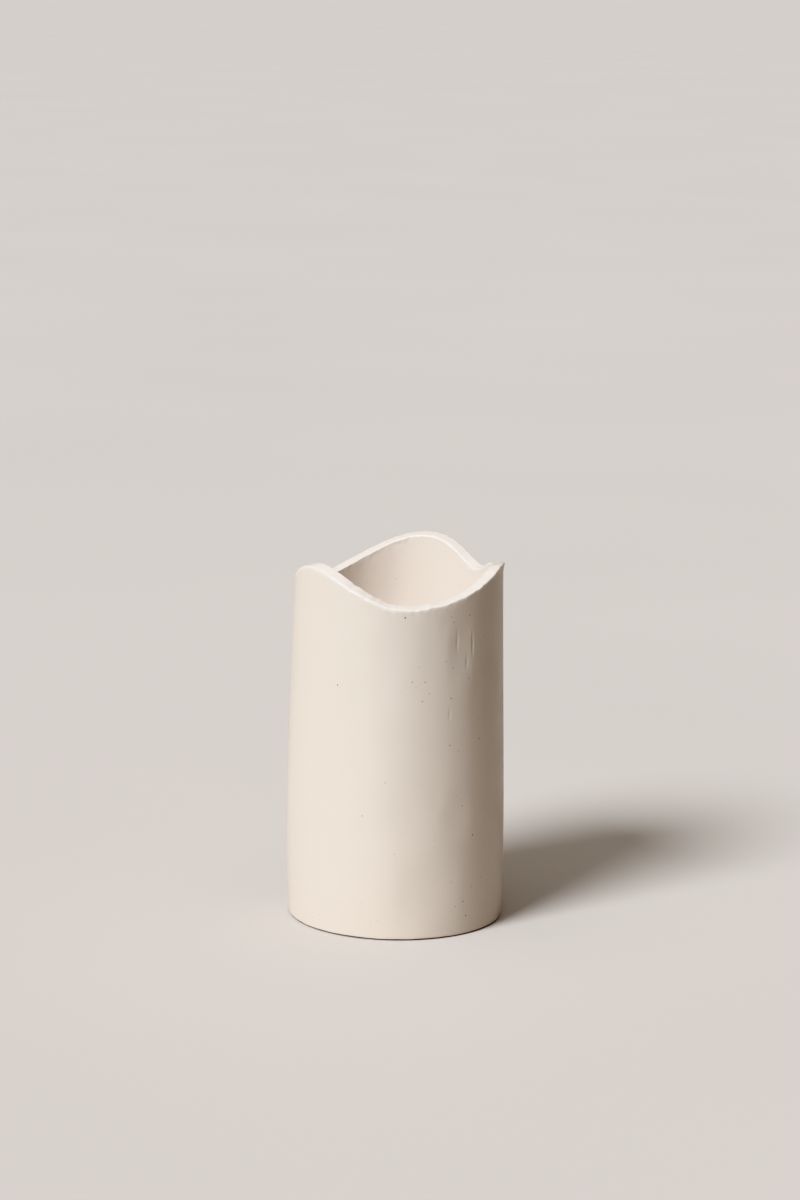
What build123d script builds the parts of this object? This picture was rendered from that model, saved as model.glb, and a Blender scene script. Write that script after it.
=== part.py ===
from build123d import *
import os
from math import cos, radians, sin

# A slab-built stoneware jar for kitchen utensils, in millimetres.
# A rolled wall slab stands on a round base slab, a coil of clay is worked into the corner inside,
# and an ivory glaze covers everything but the foot. The rim is cut by hand in an uneven wave.
# Z is up, the origin is the centre of the foot, and the lowest dip of the rim faces -Y.

# The side of the glazed jar: its radius at five heights
foot_radius = 50.1
belly_radius = 50.8
belly_height = 42.0
waist_radius = 49.9
waist_height = 95.0
neck_radius = 48.0
neck_height = 165.0
crown_radius = 47.5
crown_height = 185.0

# The clay slabs
wall_thickness = 5.0
base_thickness = 6.0
foot_bevel = 0.5
lip_rounding = 0.8
corner_coil_radius = 7.0

# The glaze, which stops short of the foot and leaves a line of bare clay
glaze_thickness = 0.4
bare_foot_height = 0.7
liner_lap = 1.3

# The line of the clay rim along the middle of the wall: angle from +X, seen from above, and height
rim_line = [
    (4, 166.5),
    (18, 164.0),
    (34, 160.0),
    (54, 168.5),
    (74, 172.7),
    (104, 165.4),
    (135, 155.4),
    (158, 153.4),
    (180, 158.2),
    (200, 167.0),
    (219, 169.0),
    (240, 163.1),
    (262, 155.6),
    (280, 154.0),
    (300, 156.4),
    (320, 161.0),
    (338, 165.8),
    (352, 167.3),
]

# The knife was held askew, so the cut across the wall rises towards +X and +Y: the rise per millimetre
cut_rise_right = 0.16
cut_rise_back = 0.16

# How far the wavy cut reaches past the wall on both sides, and how near an edge counts as level
cutter_margin = 6.0
hair = 0.01

# The faces of the wall, as distances in from the glazed side
clay_outside = glaze_thickness
clay_inside = clay_outside + wall_thickness
glazed_inside = clay_inside + glaze_thickness
wall_middle_radius = neck_radius - (clay_outside + clay_inside) / 2


def jar_form(inset, bottom=0.0):
    """The solid form of the jar, with its side moved in by inset and cut level at the bottom."""
    side = Spline(
        (foot_radius - inset, 0, 0),
        (belly_radius - inset, 0, belly_height),
        (waist_radius - inset, 0, waist_height),
        (neck_radius - inset, 0, neck_height),
        (crown_radius - inset, 0, crown_height),
    )
    top_line = Line(side @ 1, (0, 0, crown_height))
    axis_line = Line((0, 0, crown_height), (0, 0, 0))
    bottom_line = Line((0, 0, 0), side @ 0)
    form = revolve(make_face([side, top_line, axis_line, bottom_line]), Axis.Z)
    return form - layer(0, bottom) if bottom > 0 else form


def layer(low, high):
    """A level slab of space, wider than the jar, from one height to another."""
    width = 4 * belly_radius
    return Pos(0, 0, low) * Box(width, width, high - low, align=(Align.CENTER, Align.CENTER, Align.MIN))


def rim_loop(radius, rise):
    """The wavy line of the cut as a closed curve at one radius."""
    points = []
    for angle, height in rim_line:
        right = cos(radians(angle))
        back = sin(radians(angle))
        askew = (radius - wall_middle_radius) * (cut_rise_right * right + cut_rise_back * back)
        points.append((radius * right, radius * back, height + rise + askew))
    return Spline(points, periodic=True)


def rim_waste(rise):
    """The clay that the potter cuts away: all above a wavy face through the wall."""
    inner_loop = rim_loop(crown_radius - clay_inside - cutter_margin, rise)
    outer_loop = rim_loop(belly_radius + cutter_margin, rise)
    wavy_face = Face.make_surface_from_curves(inner_loop.edge(), outer_loop.edge())
    return extrude(wavy_face, amount=crown_height, dir=(0, 0, 1))


def cut_rim(wall, rise, rounding):
    """Cut the wall along the wavy rim and round both edges of the lip."""
    cut_wall = wall - rim_waste(rise)
    lip_face = cut_wall.faces().sort_by(Axis.Z)[-1]
    return fillet(lip_face.edges(), rounding)


def hollow_form(inset, bottom, corner_radius):
    """The form of the space inside, with its lower edge rounded."""
    hollow = jar_form(inset, bottom)
    edges = hollow.edges().filter_by_position(Axis.Z, bottom - hair, bottom + hair)
    return fillet(edges, corner_radius)


def whole_jar(outside, inside, bottom, corner_radius, rise, rounding):
    """The jar as one body between two sides, with its rim cut and rounded."""
    body = jar_form(outside) - hollow_form(inside, bottom, corner_radius)
    return cut_rim(body, rise, rounding)


def make_base_slab():
    """The round slab that the wall stands on, bevelled at the foot, bare clay underneath."""
    slab = jar_form(clay_outside) & layer(0, base_thickness)
    foot_edges = slab.edges().filter_by_position(Axis.Z, -hair, hair)
    return chamfer(foot_edges, foot_bevel)


def make_wall_slab():
    """The rolled slab, wrapped round and joined, with its upper edge cut in a wave."""
    wall = jar_form(clay_outside, base_thickness) - jar_form(clay_inside)
    return cut_rim(wall, 0, lip_rounding)


def make_corner_coil():
    """The coil worked into the corner between wall and base, finished hollow."""
    space = jar_form(clay_inside, base_thickness)
    return space - hollow_form(clay_inside, base_thickness, corner_coil_radius)


def make_glaze():
    """The glaze coat on the clay, as a liner inside and a coat outside that meet on the lip."""
    clay = whole_jar(
        clay_outside, clay_inside, base_thickness, corner_coil_radius, 0, lip_rounding
    )
    glazed = whole_jar(
        0,
        glazed_inside,
        base_thickness + glaze_thickness,
        corner_coil_radius - glaze_thickness,
        glaze_thickness,
        lip_rounding + glaze_thickness,
    )
    coat = glazed - clay
    inner_space = jar_form(clay_inside - liner_lap)
    liner = coat & inner_space
    outer = coat - inner_space - layer(0, bare_foot_height)
    return liner, outer


def main():
    base_slab = make_base_slab()
    wall_slab = make_wall_slab()
    corner_coil = make_corner_coil()
    liner_glaze, outer_glaze = make_glaze()
    pieces = {
        "base_slab": base_slab,
        "wall_slab": wall_slab,
        "corner_coil": corner_coil,
        "liner_glaze": liner_glaze,
        "outer_glaze": outer_glaze,
    }
    os.makedirs("parts", exist_ok=True)
    for node, piece in pieces.items():
        export_step(piece, f"parts/{node}.step")


main()
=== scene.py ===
from functools import cache
from math import atan2, cos, hypot, pi, radians, sin

import bmesh
import bpy
import numpy as np
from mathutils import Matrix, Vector, noise


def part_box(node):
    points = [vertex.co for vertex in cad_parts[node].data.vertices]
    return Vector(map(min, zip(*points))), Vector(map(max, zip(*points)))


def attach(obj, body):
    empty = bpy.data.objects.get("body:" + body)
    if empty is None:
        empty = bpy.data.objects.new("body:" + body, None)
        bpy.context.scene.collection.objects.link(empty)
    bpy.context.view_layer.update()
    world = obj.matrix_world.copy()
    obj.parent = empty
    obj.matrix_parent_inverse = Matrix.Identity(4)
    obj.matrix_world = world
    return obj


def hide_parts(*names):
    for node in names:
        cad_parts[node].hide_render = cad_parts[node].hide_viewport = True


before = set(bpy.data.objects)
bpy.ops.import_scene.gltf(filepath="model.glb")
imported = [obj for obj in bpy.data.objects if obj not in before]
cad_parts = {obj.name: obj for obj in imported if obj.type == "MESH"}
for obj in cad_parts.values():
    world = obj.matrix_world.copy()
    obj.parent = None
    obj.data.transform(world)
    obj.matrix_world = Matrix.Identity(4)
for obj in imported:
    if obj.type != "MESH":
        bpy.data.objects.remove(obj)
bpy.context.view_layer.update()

# A slab-built stoneware jar for utensils, in an ivory satin glaze, in the frame of the solids.
# All lengths are metres: a number of millimetres is multiplied by MM.
MM = 0.001

# The jar's walls, as in the construction: distances in from the glazed side, edges and the foot.
# The lip's two edges are a little crisper here than the one rounding of the solids.
GLAZE = 0.4 * MM
CLAY_WALL = 5.0 * MM
CLAY_OUTSIDE = GLAZE
CLAY_INSIDE = CLAY_OUTSIDE + CLAY_WALL
GLAZED_INSIDE = CLAY_INSIDE + GLAZE
LINER_LAP = 1.3 * MM
EDGE_ROUNDING = 1.2 * MM
OUTER_EDGE_ROUNDING = 1.0 * MM
INNER_EDGE_ROUNDING = 0.8 * MM
CORNER_ROUNDING = 6.6 * MM
FOOT_BEVEL = 0.5 * MM
GLAZE_EDGE_ROUNDING = 0.25 * MM
BASE_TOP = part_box("base_slab")[1].z
GLAZE_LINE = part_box("outer_glaze")[0].z
FLOOR_INSIDE = BASE_TOP + GLAZE

# The jar is first raised as a straight tube, and then shaped
TUBE_RADIUS = 50.0 * MM
TUBE_LIP = 163.0 * MM
TUBE_MIDDLE = TUBE_RADIUS - GLAZED_INSIDE / 2
STRETCH_FROM = 70.0 * MM
AROUND = 320
LIP_STEPS = 6
CORNER_STEPS = 10
RIM_WAVES = 14
THIN_GLAZE_AND_LIP_HIGHLIGHT = "thin_glaze_and_lip_highlight"

# The rim is nowhere lower than this
LOWEST_RIM = 140.0 * MM

# What hands and rib left on the outside: the turn from +X in degrees, the height, the half width,
# the half height and the depth in millimetres, and how firm the edge is, from 1.2 firm to 2 soft
HAND_MARKS = [
    (306.0, 135, 7.2, 21, 0.40, 1.2),
    (297.0, 147, 4.0, 7, 0.10, 2.0),
    (303.0, 57, 10.0, 17, 0.26, 2.0),
    (288.0, 22, 17.0, 26, 0.45, 1.6),
    (291.0, 66, 4.5, 8, 0.09, 2.0),
    (318.0, 108, 6.0, 16, 0.12, 2.0),
    (332.0, 84, 7.0, 24, 0.12, 2.0),
    (262.0, 120, 9.0, 30, 0.07, 2.0),
    (236.0, 70, 10.0, 26, 0.08, 2.0),
]

# The short upright scratches that the rib's corner left on the front right
RIB_SCRATCHES = [
    (303.8, 138, 0.9, 7, 0.14, 1.5),
    (314.2, 136, 1.0, 8, 0.24, 1.5),
    (310.2, 128, 0.9, 4, 0.18, 1.5),
    (299.2, 105, 0.8, 4, 0.12, 1.5),
]

# Where a thumb touched the lip: the turn, the half width and the rise in millimetres
LIP_TOUCHES = [
    (242.5, 1.5, -0.35),
    (247.0, 3.0, 0.18),
    (264.5, 7.0, -0.50),
    (278.0, 3.0, -0.14),
    (288.0, 5.0, 0.50),
    (333.0, 4.0, -0.18),
]


def cad_points(node):
    """The corners of a CAD piece's mesh as rows of x, y and z."""
    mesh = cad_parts[node].data
    points = np.empty(len(mesh.vertices) * 3)
    mesh.vertices.foreach_get("co", points)
    return points.reshape(-1, 3)


def measure_side():
    """The radius of the glazed side as a smooth curve over height, read from the CAD coat."""
    points = cad_points("outer_glaze")
    radii = np.hypot(points[:, 0], points[:, 1])
    heights = points[:, 2]
    band = 3 * MM
    outermost = [radii[abs(heights - z) < band].max() for z in heights]
    on_side = (radii > np.array(outermost) - GLAZE / 2) & (heights < TUBE_LIP - 10 * MM)
    return np.polynomial.Polynomial.fit(heights[on_side], radii[on_side], 4)


def waves_round(turns):
    """The waves that the rim's line is made of, as columns, at turns about the axis."""
    waves = [np.ones_like(turns)]
    for k in range(1, RIM_WAVES + 1):
        waves += [np.cos(k * turns), np.sin(k * turns)]
    return np.stack(waves, 1)


def measure_rim():
    """The cut face of the glazed rim, read from the CAD coat: its line along the middle of the wall
    as a sum of waves, and how much it rises to the right and to the back."""
    points = cad_points("outer_glaze")
    radii = np.hypot(points[:, 0], points[:, 1])
    heights = points[:, 2]
    depth = SIDE(heights) - radii
    edge = 0.05 * MM
    on_cut = (
        (heights > LOWEST_RIM)
        & (depth > EDGE_ROUNDING - edge)
        & (depth < CLAY_INSIDE - LINER_LAP + edge)
    )
    points, heights, depth = points[on_cut], heights[on_cut], depth[on_cut]
    turns = np.arctan2(points[:, 1], points[:, 0])
    across = GLAZED_INSIDE / 2 - depth
    slopes = np.stack([across * np.cos(turns), across * np.sin(turns)], 1)
    table = np.hstack([waves_round(turns), slopes])
    upper = np.ones_like(turns, bool)
    # the coat's lower face, a glaze's thickness down, drops out after the first fit
    for _ in range(4):
        weights = np.linalg.lstsq(table[upper], heights[upper], rcond=None)[0]
        upper = heights - table @ weights > -GLAZE / 4
    return weights[:-2], weights[-2:]


SIDE = measure_side()
RIM_LINE, RIM_SLOPES = measure_rim()


@cache
def rim_middle(turn):
    """The height of the cut along the middle of the wall, at a turn in radians from +X."""
    return waves_round(np.array([turn]))[0] @ RIM_LINE


def rim_height(turn, radius):
    """The height of the cut at a turn and a radius of the straight tube."""
    askew = RIM_SLOPES[0] * cos(turn) + RIM_SLOPES[1] * sin(turn)
    return rim_middle(round(turn, 5)) + askew * (radius - TUBE_MIDDLE)


def ramp(value, low, high):
    """A smooth rise from 0 at low to 1 at high."""
    t = min(1.0, max(0.0, (value - low) / (high - low)))
    return t * t * (3 - 2 * t)


def select_none():
    """Leaves object mode with nothing selected."""
    if bpy.context.object and bpy.context.object.mode == "EDIT":
        bpy.ops.object.mode_set(mode="OBJECT")
    bpy.ops.object.select_all(action="DESELECT")


def select_only(piece):
    """Selects one piece and makes it the one worked on."""
    select_none()
    piece.select_set(True)
    bpy.context.view_layer.objects.active = piece


def pick(kind, test):
    """In edit mode, selects the vertices, edges or faces that pass a test, and nothing else."""
    modes = {"verts": "VERT", "edges": "EDGE", "faces": "FACE"}
    bpy.ops.mesh.select_mode(type=modes[kind])
    bpy.ops.mesh.select_all(action="DESELECT")
    mesh = bpy.context.object.data
    shape = bmesh.from_edit_mesh(mesh)
    for part in getattr(shape, kind):
        part.select_set(test(part))
    bmesh.update_edit_mesh(mesh)


def pick_ring(radius, height):
    """Selects the ring of edges at one radius and height."""
    near = 0.01 * MM

    def on_ring(edge):
        return all(
            abs(hypot(v.co.x, v.co.y) - radius) < near and abs(v.co.z - height) < near
            for v in edge.verts
        )

    pick("edges", on_ring)


def divide_long_edges(longest, cuts):
    """Divides all edges longer than a length, across the strips of faces between them."""
    pick("edges", lambda edge: edge.calc_length() > longest)
    bpy.ops.mesh.subdivide(number_cuts=cuts)


def widen(factor, height):
    """Scales what is selected about the axis at a height."""
    bpy.ops.transform.resize(value=(factor, factor, 1), center_override=(0, 0, height))


def raise_tube(name, outside, inside, low, lip, inside_low):
    """A straight tube with a level lip: up the outside, over the lip and down the inside."""
    select_none()
    bpy.ops.mesh.primitive_cylinder_add(
        vertices=AROUND,
        radius=outside,
        depth=lip - low,
        end_fill_type="NOTHING",
        location=(0, 0, (lip + low) / 2),
    )
    piece = bpy.context.object
    piece.name = name
    piece.data.name = name
    bpy.ops.object.transform_apply(location=True, rotation=True, scale=True)
    bpy.ops.object.mode_set(mode="EDIT")
    pick_ring(outside, lip)
    bpy.ops.mesh.extrude_region_move()
    widen(inside / outside, lip)
    down = inside_low - lip
    bpy.ops.mesh.extrude_region_move(TRANSFORM_OT_translate={"value": (0, 0, down)})
    return piece


def round_ring(radius, height, rounding, steps):
    """Rounds the edge of the tube at one ring."""
    pick_ring(radius, height)
    bpy.ops.mesh.bevel(offset=rounding, segments=steps, profile=0.5, affect="EDGES")


def finish_tube():
    """Divides the tall side into 120 rows and the level faces into a few, and merges doubles."""
    divide_long_edges(100 * MM, 1)
    divide_long_edges(50 * MM, 59)
    divide_long_edges(10 * MM, 5)
    bpy.ops.mesh.select_all(action="SELECT")
    bpy.ops.mesh.remove_doubles(threshold=0.001 * MM)
    bpy.ops.mesh.normals_make_consistent(inside=False)
    bpy.ops.object.mode_set(mode="OBJECT")


def lean(height):
    """How far the jar's middle stands towards +X at a height: it bowed a little as it dried."""
    part = height / (165 * MM)
    return (0.3 - 2.5 * part + 2.05 * part * part) * MM


def clay_unevenness(turn, height):
    """How far the hand-rolled slab stands out or in at a place."""
    around = Vector((cos(turn), sin(turn), 0))
    broad = noise.noise(around * 1.3 + Vector((3.1, 0.7, height / (70 * MM))))
    long_flats = noise.noise(around * 3.5 + Vector((8.2, 5.5, height / (110 * MM))))
    return 0.15 * MM * broad + 0.14 * MM * long_flats


def swell(turn, degrees_round, half_width):
    """How near a turn is to a mark: 0 at the mark's middle and 1 at its edge."""
    away = (turn - radians(degrees_round) + pi) % (2 * pi) - pi
    return abs(away) * TUBE_RADIUS / (half_width * MM)


def hand_marks(turn, height):
    """How deep the marks of hands and rib are at a place on the outside."""
    depth = 0.0
    for mark in HAND_MARKS + RIB_SCRATCHES:
        degrees_round, middle, half_width, half_height, deepest, edge = mark
        across = swell(turn, degrees_round, half_width)
        along = abs(height - middle * MM) / (half_height * MM)
        if across < 1 and along < 1:
            depth += deepest * MM * (1 - across * across) ** edge * (1 - along * along) ** 2
    return depth


def lip_unevenness(turn):
    """How far the hand-cut lip stands up or down at a place."""
    around = Vector((cos(turn), sin(turn), 0))
    knife = noise.noise(around * 7 + Vector((1.7, 9.3, 4.4)))
    thumb = noise.noise(around * 19 + Vector((6.6, 2.9, 1.2)))
    rise = 0.18 * MM * knife + 0.10 * MM * thumb
    for degrees_round, half_width, highest in LIP_TOUCHES:
        across = swell(turn, degrees_round, half_width)
        if across < 1:
            rise += highest * MM * (1 - across * across) ** 2
    return rise


def burr(turn, height):
    """How far the knife drew the clay out along the outer edge of the right crest."""
    across = swell(turn, 356, 9)
    near_lip = ramp(height, TUBE_LIP - 4 * MM, TUBE_LIP - 0.5 * MM)
    return 0.7 * MM * max(0, 1 - across * across) * near_lip


def edge_lumps(place):
    """The small lumps that the sponge leaves along the edges of the lip, 2 to 3 mm long."""
    return 0.26 * MM * noise.noise(place / (2.4 * MM))


def mark_lip(piece):
    """Marks the lip, where a coat of glaze runs thin and glossier, for its material to read; the
    material also paints a highlight there.
    """
    thin = piece.data.attributes.new(THIN_GLAZE_AND_LIP_HIGHLIGHT, "FLOAT", "POINT")
    for vertex in piece.data.vertices:
        thin.data[vertex.index].value = ramp(vertex.co.z, TUBE_LIP - 2.2 * MM, TUBE_LIP - 0.4 * MM)


def shape_by_hand(piece):
    """Gives a straight tube the jar's barrel side, its wavy rim and the slabs' unevenness."""
    for vertex in piece.data.vertices:
        x, y, z = vertex.co
        radius = hypot(x, y)
        if radius < 0.01 * MM:
            continue
        turn = atan2(y, x)
        stretch = ramp(z, STRETCH_FROM, TUBE_LIP - 5 * MM)
        rise = (rim_height(turn, radius) + lip_unevenness(turn) - TUBE_LIP) * stretch
        new_z = z + rise
        shift = SIDE(new_z) - TUBE_RADIUS
        settled = ramp(z, 2 * MM, 25 * MM)
        shift += clay_unevenness(turn, new_z) * settled
        # the floor inside keeps its middle: the shift fades out towards the axis
        shift *= ramp(radius, 0, 30 * MM)
        outside = ramp(radius, TUBE_RADIUS - 3 * MM, TUBE_RADIUS - 1 * MM)
        shift -= hand_marks(turn, new_z) * outside
        shift += burr(turn, z) * outside
        lumps = edge_lumps(vertex.co) * ramp(z, TUBE_LIP - 5 * MM, TUBE_LIP - 1 * MM)
        new_radius = radius + shift + lumps
        side = radius / TUBE_RADIUS
        vertex.co = (
            new_radius * cos(turn) + lean(new_z) * ramp(side, 0.3, 0.6),
            new_radius * sin(turn),
            new_z + 0.6 * lumps,
        )
    piece.data.update()


def smooth(piece):
    """Shades a piece smooth but for its sharp edges."""
    select_only(piece)
    bpy.ops.object.shade_smooth_by_angle(angle=radians(40))


def thicken(piece, thickness):
    """Gives a skin its thickness, inwards from its face."""
    select_only(piece)
    solidify = piece.modifiers.new("thickness", "SOLIDIFY")
    solidify.thickness = thickness
    solidify.offset = -1
    bpy.ops.object.modifier_apply(modifier=solidify.name)


def round_glaze_edge(coat):
    """Rounds the lower edge of the outer coat, where the glaze was wiped off the foot."""
    select_only(coat)
    bpy.ops.object.mode_set(mode="EDIT")
    round_ring(TUBE_RADIUS, GLAZE_LINE, GLAZE_EDGE_ROUNDING, 3)
    bpy.ops.object.mode_set(mode="OBJECT")


def waver_glaze_line(coat):
    """Lets the lower edge of the glaze run a little up and down, as a sponge leaves it."""
    reach = 2 * MM
    for vertex in coat.data.vertices:
        x, y, z = vertex.co
        if z < GLAZE_LINE + reach:
            around = Vector((x, y, 0)) / TUBE_RADIUS
            waver = noise.noise(around * 4 + Vector((2.2, 7.1, 0))) + 0.6 * noise.noise(around * 13)
            vertex.co.z += 0.22 * MM * waver * (1 - ramp(z, GLAZE_LINE, GLAZE_LINE + reach))
    coat.data.update()


def divide_where_scratched():
    """Divides the outside finely where the rib's corner scratched it, for crisp marks."""
    for degrees_round, middle, half_width, half_height, _, _ in RIB_SCRATCHES:

        def near_scratch(face):
            place = face.calc_center_median()
            across = swell(atan2(place.y, place.x), degrees_round, half_width + 1.5)
            along = abs(place.z - middle * MM) / ((half_height + 6) * MM)
            return hypot(place.x, place.y) > TUBE_RADIUS - 0.2 * MM and across < 1 and along < 1

        pick("faces", near_scratch)
        bpy.ops.mesh.subdivide(number_cuts=2)


def glaze_the_jar():
    """The two coats of glaze, modelled as one skin and parted where the liner ends on the lip."""
    inside = TUBE_RADIUS - GLAZED_INSIDE
    coat = raise_tube("glaze_outside", TUBE_RADIUS, inside, GLAZE_LINE, TUBE_LIP, FLOOR_INSIDE)
    bpy.ops.mesh.extrude_region_move()
    eye = 2 * MM
    widen(eye / inside, FLOOR_INSIDE)
    bpy.ops.mesh.edge_face_add()
    bpy.ops.mesh.poke()
    round_ring(inside, FLOOR_INSIDE, CORNER_ROUNDING, CORNER_STEPS)
    round_ring(TUBE_RADIUS, TUBE_LIP, OUTER_EDGE_ROUNDING, LIP_STEPS)
    round_ring(inside, TUBE_LIP, INNER_EDGE_ROUNDING, LIP_STEPS)
    finish_tube()
    bpy.ops.object.mode_set(mode="EDIT")
    divide_where_scratched()
    lap_radius = TUBE_RADIUS - CLAY_INSIDE + LINER_LAP

    def lined(face):
        middle = face.calc_center_median()
        return hypot(middle.x, middle.y) < lap_radius

    pick("faces", lined)
    bpy.ops.mesh.separate(type="SELECTED")
    bpy.ops.object.mode_set(mode="OBJECT")
    liner = next(o for o in bpy.context.selected_objects if o is not coat)
    liner.name = "glaze_inside"
    liner.data.name = "glaze_inside"
    for piece in (coat, liner):
        thicken(piece, GLAZE)
    round_glaze_edge(coat)
    for piece in (coat, liner):
        mark_lip(piece)
        shape_by_hand(piece)
    waver_glaze_line(coat)
    for piece in (coat, liner):
        smooth(piece)
    return coat, liner


def build_wall():
    """The wall slab under the glaze, a closed ring of clay that stands on the base."""
    outside = TUBE_RADIUS - CLAY_OUTSIDE
    inside = TUBE_RADIUS - CLAY_INSIDE
    lip = TUBE_LIP - GLAZE
    wall = raise_tube("clay_wall", outside, inside, BASE_TOP, lip, BASE_TOP)

    def at_the_bottom(edge):
        return all(abs(v.co.z - BASE_TOP) < 0.01 * MM for v in edge.verts)

    pick("edges", at_the_bottom)
    bpy.ops.mesh.bridge_edge_loops()
    round_ring(outside, lip, OUTER_EDGE_ROUNDING - GLAZE, LIP_STEPS)
    round_ring(inside, lip, INNER_EDGE_ROUNDING - GLAZE, LIP_STEPS)
    finish_tube()
    shape_by_hand(wall)
    smooth(wall)
    return wall


def build_base():
    """The base slab, bevelled at the foot, with its underside left bare."""
    select_none()
    radius = TUBE_RADIUS - CLAY_OUTSIDE
    bpy.ops.mesh.primitive_cylinder_add(
        vertices=AROUND,
        radius=radius,
        depth=BASE_TOP,
        end_fill_type="NGON",
        location=(0, 0, BASE_TOP / 2),
    )
    base = bpy.context.object
    base.name = "clay_base"
    base.data.name = "clay_base"
    bpy.ops.object.transform_apply(location=True, rotation=True, scale=True)
    bpy.ops.object.mode_set(mode="EDIT")
    for height in (BASE_TOP, 0.0):
        pick("faces", lambda face: abs(face.calc_center_median().z - height) < 0.01 * MM)
        for step in (4, 12, 20):
            bpy.ops.mesh.inset(thickness=step * MM)
        bpy.ops.mesh.poke()
    round_ring(radius, 0.0, FOOT_BEVEL, 4)
    finish_tube()
    shape_by_hand(base)
    smooth(base)
    return base


def linear(hex_colour):
    """A colour from its sRGB hex value, as linear red, green, blue and alpha."""
    channels = [int(hex_colour[i : i + 2], 16) / 255 for i in (1, 3, 5)]
    return [c / 12.92 if c <= 0.04045 else ((c + 0.055) / 1.055) ** 2.4 for c in channels] + [1]


def add(tree, kind, settings=None, links=None):
    """Adds a node with its settings, and links its inputs to other nodes' outputs."""
    node = tree.nodes.new(kind)
    for name, value in (settings or {}).items():
        if isinstance(name, int) or name in node.inputs:
            node.inputs[name].default_value = value
        else:
            setattr(node, name, value)
    for name, source in (links or {}).items():
        tree.links.new(source, node.inputs[name])
    return node


def new_material(name):
    """An empty material, its node tree and the place on the object as a vector."""
    material = bpy.data.materials.new(name)
    material.use_nodes = True
    tree = material.node_tree
    tree.nodes.clear()
    place = add(tree, "ShaderNodeTexCoord").outputs["Object"]
    return material, tree, place


def finish_material(tree, settings, links):
    """Closes a material with its shader and output."""
    shader = add(tree, "ShaderNodeBsdfPrincipled", settings, links)
    add(tree, "ShaderNodeOutputMaterial", links={"Surface": shader.outputs["BSDF"]})


def blend_colours(tree, amount, first, second):
    """Two colours mixed by an amount; a colour is a hex value or another node's output."""
    mix = add(tree, "ShaderNodeMix", {"data_type": "RGBA"}, {0: amount})
    for socket, colour in ((6, first), (7, second)):
        if isinstance(colour, str):
            mix.inputs[socket].default_value = linear(colour)
        else:
            tree.links.new(colour, mix.inputs[socket])
    return mix.outputs[2]


def mottle(tree, place, grain, detail):
    """Soft uneven patches about as wide as the grain, from 0 to 1."""
    settings = {"Scale": 1 / grain, "Detail": detail}
    return add(tree, "ShaderNodeTexNoise", settings, {"Vector": place}).outputs["Fac"]


def scattered_dots(tree, place, spacing, radius, edge):
    """Dots where the points of a field of cells lie near the surface: 1 in a dot and 0 outside."""
    cells = add(tree, "ShaderNodeTexVoronoi", {"Scale": 1 / spacing}, {"Vector": place})
    inner, outer = (radius - edge) / spacing, (radius + edge) / spacing
    dots = add(
        tree,
        "ShaderNodeMapRange",
        {"From Min": inner, "From Max": outer, "To Min": 1.0, "To Max": 0.0},
        {"Value": cells.outputs["Distance"]},
    )
    return dots.outputs["Result"], cells.outputs["Color"]


# The iron specks that show most on the outside: the turn in degrees, and the height and the radius
# in millimetres; a darker speck has a larger radius
IRON_SPECKS = [
    (273.7, 150.3, 0.37),
    (237.0, 117.3, 0.35),
    (278.1, 120.9, 0.26),
    (285.1, 120.7, 0.26),
    (283.6, 112.0, 0.26),
    (301.3, 147.2, 0.26),
    (312.1, 149.5, 0.26),
    (333.8, 136.2, 0.26),
    (311.7, 120.5, 0.26),
    (300.0, 112.4, 0.3),
    (319.6, 91.4, 0.26),
    (299.4, 90.6, 0.26),
    (253.0, 58.3, 0.26),
    (314.5, 46.9, 0.37),
    (307.5, 61.6, 0.26),
    (308.3, 16.2, 0.31),
    (310.5, 9.1, 0.31),
    (300.9, 26.5, 0.2),
    (321.5, 25.6, 0.22),
    (314.4, 22.5, 0.2),
    (303.4, 14.5, 0.2),
    (301.3, 126.1, 0.22),
    (304.7, 87.7, 0.2),
    (319.2, 100.8, 0.22),
    (287.5, 115.3, 0.2),
    (296.8, 129.6, 0.2),
]


def glaze_point(degrees_round, height):
    """The place on the shaped outside of the jar at a turn in degrees and a height."""
    turn = radians(degrees_round)
    radius = SIDE(height) + clay_unevenness(turn, height) - hand_marks(turn, height)
    return Vector((radius * cos(turn) + lean(height), radius * sin(turn), height))


def placed_specks(tree, place):
    """The specks of the list above: 1 in a speck and 0 outside."""
    strongest = None
    for degrees_round, height, radius in IRON_SPECKS:
        inner, outer = 0.4 * radius * MM, 1.5 * radius * MM
        away = add(
            tree,
            "ShaderNodeVectorMath",
            {"operation": "DISTANCE", 1: glaze_point(degrees_round, height * MM)},
            {0: place},
        )
        speck = add(
            tree,
            "ShaderNodeMapRange",
            {"From Min": inner, "From Max": outer, "To Min": 1.0, "To Max": 0.0},
            {"Value": away.outputs["Value"]},
        ).outputs["Result"]
        if strongest is None:
            strongest = speck
        else:
            strongest = add(
                tree,
                "ShaderNodeMath",
                {"operation": "MAXIMUM"},
                {0: strongest, 1: speck},
            ).outputs["Value"]
    return strongest


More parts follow.
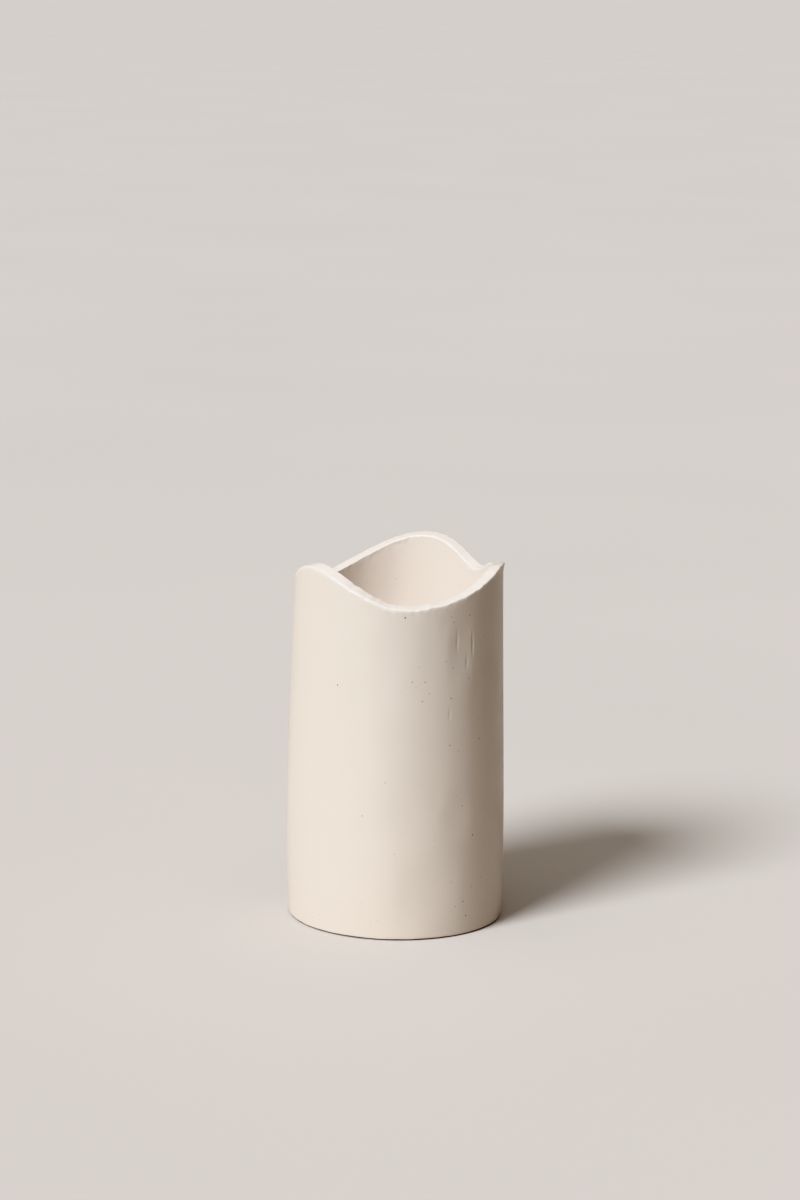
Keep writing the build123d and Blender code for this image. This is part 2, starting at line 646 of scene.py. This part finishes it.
def ivory_satin_glaze(name, thin_colour, thick_colour):
    """Ivory satin glaze over stoneware, poured and fired: a soft sheen from fine crystals in the
    glass, cloudy where it lies thicker, with specks of iron from the clay and tiny pinholes."""
    material, tree, place = new_material(name)
    clouds = mottle(tree, place, 26 * MM, 3.0)
    ivory = blend_colours(tree, clouds, thin_colour, thick_colour)
    # over the lip it ran thin and fired glossier; its lighter colour there is a painted highlight
    # for the light falling on the lip's top
    at_lip = add(tree, "ShaderNodeAttribute", {"attribute_name": THIN_GLAZE_AND_LIP_HIGHLIGHT}).outputs["Fac"]
    ivory = blend_colours(tree, at_lip, ivory, "#D7C9B9")
    # iron specks 0.4 mm wide, about one to each 3 square centimetres, each of its own strength
    specks, shade = scattered_dots(tree, place, 4.9 * MM, 0.2 * MM, 0.07 * MM)
    strength = add(tree, "ShaderNodeSeparateColor", links={"Color": shade}).outputs["Red"]
    faint = add(
        tree,
        "ShaderNodeMath",
        {"operation": "MULTIPLY"},
        {0: specks, 1: strength},
    ).outputs["Value"]
    listed = placed_specks(tree, place)
    iron = add(
        tree,
        "ShaderNodeMath",
        {"operation": "MAXIMUM"},
        {0: faint, 1: listed},
    ).outputs["Value"]
    speckled = blend_colours(tree, iron, ivory, "#554536")
    # a satin glaze is glossier where it is thin and duller where it is thick
    roughness = add(
        tree,
        "ShaderNodeMapRange",
        {"From Min": 0.3, "From Max": 0.7, "To Min": 0.40, "To Max": 0.50},
        {"Value": mottle(tree, place, 15 * MM, 2.0)},
    ).outputs["Result"]
    glossier = add(
        tree,
        "ShaderNodeMath",
        {"operation": "MULTIPLY_ADD", 1: -0.16},
        {0: at_lip, 2: roughness},
    ).outputs["Value"]
    # the skin of the glaze: ripples about 2.6 mm long, dimples on the lip, and pinholes 0.4 mm wide
    skin = add(
        tree,
        "ShaderNodeBump",
        {"Strength": 1.0, "Distance": 0.010 * MM},
        {"Height": mottle(tree, place, 2.6 * MM, 2.0)},
    )
    on_lip = add(
        tree,
        "ShaderNodeMath",
        {"operation": "MULTIPLY"},
        {0: mottle(tree, place, 1.3 * MM, 1.0), 1: at_lip},
    ).outputs["Value"]
    dimpled = add(
        tree,
        "ShaderNodeBump",
        {"Strength": 1.0, "Distance": 0.10 * MM},
        {"Height": on_lip, "Normal": skin.outputs["Normal"]},
    )
    holes, _ = scattered_dots(tree, place, 3.4 * MM, 0.2 * MM, 0.12 * MM)
    pits = add(
        tree,
        "ShaderNodeBump",
        {"Strength": 1.0, "Distance": 0.08 * MM, "invert": True},
        {"Height": holes, "Normal": dimpled.outputs["Normal"]},
    )
    finish_material(
        tree,
        {"IOR": 1.5},
        {"Base Color": speckled, "Roughness": glossier, "Normal": pits.outputs["Normal"]},
    )
    return material


def bare_stoneware():
    """Bare fired stoneware, sponged: buff clay painted a darker brown, as painted shade for the
    dark line where the foot meets the floor; matt, with fine sand that shows as dark grain.
    """
    material, tree, place = new_material("bare_stoneware")
    # the clay's brown, darkened as painted shade along the line where the foot meets the floor
    clay_brown_and_foot_shade = blend_colours(tree, mottle(tree, place, 18 * MM, 2.0), "#66513F", "#7B6350")
    # sand grains are 0.2 to 0.4 mm wide, drawn as 0.6 mm so that they show
    grain = mottle(tree, place, 0.6 * MM, 2.0)
    sandy = add(
        tree,
        "ShaderNodeMapRange",
        {"From Min": 0.45, "From Max": 0.7, "To Min": 0.0, "To Max": 0.45},
        {"Value": grain},
    ).outputs["Result"]
    grained = blend_colours(tree, sandy, clay_brown_and_foot_shade, "#54432F")
    tooth = add(
        tree,
        "ShaderNodeBump",
        {"Strength": 1.0, "Distance": 0.05 * MM},
        {"Height": grain},
    )
    finish_material(
        tree,
        {"IOR": 1.5, "Roughness": 0.92},
        {"Base Color": grained, "Normal": tooth.outputs["Normal"]},
    )
    return material


def pale_floor():
    """A pale board in matt paint, with the faint unevenness of a rolled coat."""
    material, tree, place = new_material("pale_painted_board")
    paint = blend_colours(tree, mottle(tree, place, 400 * MM, 1.0), "#B7ACA0", "#BBB0A4")
    coat = add(
        tree,
        "ShaderNodeBump",
        {"Strength": 0.5, "Distance": 0.02 * MM},
        {"Height": mottle(tree, place, 3 * MM, 2.0)},
    )
    finish_material(
        tree,
        {"IOR": 1.4, "Roughness": 0.85},
        {"Base Color": paint, "Normal": coat.outputs["Normal"]},
    )
    return material


def lay_floor():
    """A table that ends a little in front of the picture, so that the front of the jar gets less
    light from below near its top, and reaches so far back that nothing else shows behind it."""
    select_none()
    size = 160
    front = 400 * MM
    bpy.ops.mesh.primitive_plane_add(size=size, location=(0, size / 2 - front, 0))
    floor = bpy.context.object
    floor.name = "studio_floor"
    floor.data.materials.append(pale_floor())


# The camera stands where the photograph was taken from
CAMERA_PLACE = Vector((0.4, -1500.0, 446.4)) * MM
CAMERA_PITCH = 11.22
CAMERA_ROLL = 0.92
CAMERA_LENS = 99.1


def place_camera():
    """The photograph's camera: nearly level, a long lens, tipped a little to one side."""
    data = bpy.data.cameras.new("camera")
    data.lens = CAMERA_LENS
    data.sensor_width = 36
    camera = bpy.data.objects.new("camera", data)
    bpy.context.scene.collection.objects.link(camera)
    camera.rotation_mode = "ZYX"
    camera.rotation_euler = (radians(90 - CAMERA_PITCH), 0, radians(CAMERA_ROLL))
    camera.location = CAMERA_PLACE
    data.clip_end = 200
    bpy.context.scene.camera = camera


# The key light is one large soft light, from the front left and above
KEY_AZIMUTH = 228.5
KEY_ELEVATION = 40
KEY_WIDTH = 23
KEY_STRENGTH = 6.4
KEY_COLOUR = "#E3EFFF"


def light_key():
    """A large soft key light from the front left."""
    data = bpy.data.lights.new("key_light", "SUN")
    data.energy = KEY_STRENGTH
    data.color = linear(KEY_COLOUR)[:3]
    data.angle = radians(KEY_WIDTH)
    key = bpy.data.objects.new("key_light", data)
    bpy.context.scene.collection.objects.link(key)
    turn, lift = radians(KEY_AZIMUTH), radians(KEY_ELEVATION)
    towards = Vector((cos(turn) * cos(lift), sin(turn) * cos(lift), sin(lift)))
    key.rotation_euler = towards.to_track_quat("Z", "Y").to_euler()
    key.location = towards * 2


# The room's own light: dim and warm near the level of the jar, brighter overhead
ROOM_LOW = "#332013"
ROOM_HIGH = "#EEF1F2"
ROOM_STRENGTH = 1.93
ROOM_TURNS_BRIGHT = 0.7


def light_room():
    """A dim warm room that fills the shade, and a pale backdrop beyond the edge of the floor."""
    world = bpy.data.worlds.new("studio")
    bpy.context.scene.world = world
    world.use_nodes = True
    tree = world.node_tree
    tree.nodes.clear()
    direction = add(tree, "ShaderNodeTexCoord").outputs["Generated"]
    height = add(tree, "ShaderNodeSeparateXYZ", links={"Vector": direction}).outputs["Z"]
    overhead = add(
        tree,
        "ShaderNodeMapRange",
        {"interpolation_type": "SMOOTHSTEP", "From Min": ROOM_TURNS_BRIGHT, "From Max": 1.0},
        {"Value": height},
    )
    room = blend_colours(tree, overhead.outputs["Result"], ROOM_LOW, ROOM_HIGH)
    dim = add(tree, "ShaderNodeBackground", {"Strength": ROOM_STRENGTH}, {"Color": room})
    pale = add(tree, "ShaderNodeBackground", {"Color": linear("#DFD8D3"), "Strength": 1.0})
    seen = add(tree, "ShaderNodeLightPath").outputs["Is Camera Ray"]
    either = add(
        tree,
        "ShaderNodeMixShader",
        links={0: seen, 1: dim.outputs["Background"], 2: pale.outputs["Background"]},
    )
    add(tree, "ShaderNodeOutputWorld", links={"Surface": either.outputs["Shader"]})


def dress(piece, material):
    """Gives a piece its material, and lets it ride on the jar."""
    piece.data.materials.clear()
    piece.data.materials.append(material)
    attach(piece, "root")


def main():
    place_camera()
    light_key()
    light_room()
    # the tone of product photographs: bright parts roll off softly and keep their colour
    bpy.context.scene.view_settings.view_transform = "Khronos PBR Neutral"
    lay_floor()
    glaze = ivory_satin_glaze("ivory_satin_glaze", "#C8B9A7", "#CEBFAD")
    # the liner is poured; this copy of the glaze is painted lighter than the coat outside, as
    # painted light inside the jar
    liner_glaze = ivory_satin_glaze("ivory_liner_glaze_painted_lighter", "#D8C7B4", "#DCCBB8")
    clay = bare_stoneware()
    coat, liner = glaze_the_jar()
    wall = build_wall()
    base = build_base()
    for piece, material, slot, node in (
        (coat, glaze, "ivory_glaze", "outer_glaze"),
        (liner, liner_glaze, "ivory_glaze", "liner_glaze"),
        (wall, clay, "bare_stoneware", "wall_slab"),
        (base, clay, "bare_stoneware", "base_slab"),
    ):
        dress(piece, material)
        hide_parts(node)
    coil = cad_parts["corner_coil"]
    coil.data.materials.clear()
    coil.data.materials.append(clay)


main()
